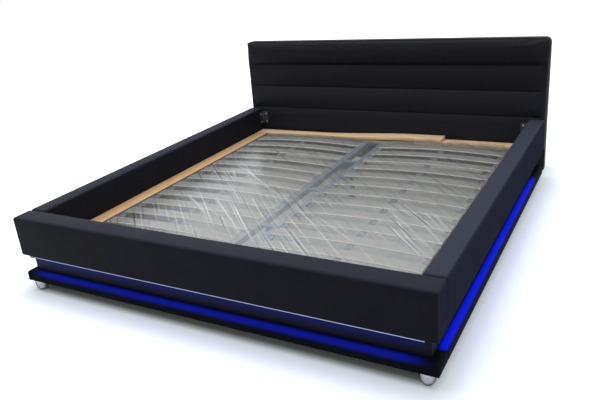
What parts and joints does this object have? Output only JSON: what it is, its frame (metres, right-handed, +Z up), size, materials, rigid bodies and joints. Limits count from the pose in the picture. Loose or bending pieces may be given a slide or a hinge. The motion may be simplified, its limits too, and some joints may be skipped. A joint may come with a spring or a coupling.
{
  "type": "upholstered platform bed",
  "caption": "Double platform bed in black leather with a channelled headboard, a recessed neck lit from above, short chrome legs and a sprung slatted base.",
  "frame": {"origin": "on the floor, under the middle of the bed's footprint", "axes": "+Z up, the foot end towards -Y and the headboard towards +Y, +X to the right of someone who stands at the foot end and looks at the headboard"},
  "size_m": [2.04, 2.199, 0.852],
  "materials": {
    "black_leather": "satin grained",
    "neck_leather": "satin grained",
    "chipboard": "raw",
    "light_strip": "glowing diffuser",
    "pine": "planed",
    "slat_birch": "smooth",
    "grey_steel": "satin powder coat",
    "clear_film": "clear glossy film",
    "zinc_plate": "zinc plated",
    "chrome": "polished",
    "black_plastic": "matt",
    "grey_plastic": "matt"
  },
  "bodies": {
    "bed_frame": {"foot_panel_cover": "black_leather", "foot_panel_box": "chipboard", "foot_neck": "neck_leather", "foot_ledge": "black_leather", "foot_light_strip": "light_strip", "left_panel_cover": "black_leather", "left_panel_box": "chipboard", "left_neck": "neck_leather", "left_ledge": "black_leather", "left_light_strip": "light_strip", "right_panel_cover": "black_leather", "right_panel_box": "chipboard", "right_neck": "neck_leather", "right_ledge": "black_leather", "right_light_strip": "light_strip", "headboard_cushion": "black_leather", "headboard_board": "chipboard", "headboard_back_cover": "black_leather", "foot_bearer": "neck_leather", "head_bearer": "neck_leather", "foot_batten": "pine", "left_batten": "pine", "right_batten": "pine", "head_ledger": "pine", "short_head_plank": "pine", "long_head_plank": "pine", "foot_left_bracket": "zinc_plate", "foot_right_bracket": "zinc_plate", "head_left_bracket": "zinc_plate", "head_right_bracket": "zinc_plate", "foot_left_leg": "chrome", "foot_right_leg": "chrome", "side_front_left_leg": "chrome", "side_front_right_leg": "chrome", "side_back_left_leg": "chrome", "side_back_right_leg": "chrome", "head_left_leg": "chrome", "head_right_leg": "chrome", "light_driver": "black_plastic"},
    "slat_base": {"base_left_angle": "grey_steel", "base_right_angle": "grey_steel", "base_foot_angle": "grey_steel", "base_head_angle": "grey_steel", "base_centre_beam": "grey_steel", "left_slats": "slat_birch", "right_slats": "slat_birch", "slat_base_film": "clear_film", "centre_leg_foot_end": "grey_steel", "centre_leg_head_end": "grey_steel"},
    "foot_left_glide": {"foot_left_glide": "grey_plastic"},
    "foot_right_glide": {"foot_right_glide": "grey_plastic"},
    "side_front_left_glide": {"side_front_left_glide": "grey_plastic"},
    "side_front_right_glide": {"side_front_right_glide": "grey_plastic"},
    "side_back_left_glide": {"side_back_left_glide": "grey_plastic"},
    "side_back_right_glide": {"side_back_right_glide": "grey_plastic"},
    "head_left_glide": {"head_left_glide": "grey_plastic"},
    "head_right_glide": {"head_right_glide": "grey_plastic"}
  },
  "joints": [
    {"name": "slat_base_lift", "type": "slide", "parent": "bed_frame", "child": "slat_base", "axis": [0, 0, 1], "range_m": [0, 0.3]},
    {"name": "foot_left_glide_travel", "type": "slide", "parent": "bed_frame", "child": "foot_left_glide", "axis": [0, 0, -1], "range_m": [0, 0.012]},
    {"name": "foot_right_glide_travel", "type": "slide", "parent": "bed_frame", "child": "foot_right_glide", "axis": [0, 0, -1], "range_m": [0, 0.012]},
    {"name": "side_front_left_glide_travel", "type": "slide", "parent": "bed_frame", "child": "side_front_left_glide", "axis": [0, 0, -1], "range_m": [0, 0.012]},
    {"name": "side_front_right_glide_travel", "type": "slide", "parent": "bed_frame", "child": "side_front_right_glide", "axis": [0, 0, -1], "range_m": [0, 0.012]},
    {"name": "side_back_left_glide_travel", "type": "slide", "parent": "bed_frame", "child": "side_back_left_glide", "axis": [0, 0, -1], "range_m": [0, 0.012]},
    {"name": "side_back_right_glide_travel", "type": "slide", "parent": "bed_frame", "child": "side_back_right_glide", "axis": [0, 0, -1], "range_m": [0, 0.012]},
    {"name": "head_left_glide_travel", "type": "slide", "parent": "bed_frame", "child": "head_left_glide", "axis": [0, 0, -1], "range_m": [0, 0.012]},
    {"name": "head_right_glide_travel", "type": "slide", "parent": "bed_frame", "child": "head_right_glide", "axis": [0, 0, -1], "range_m": [0, 0.012]}
  ]
}
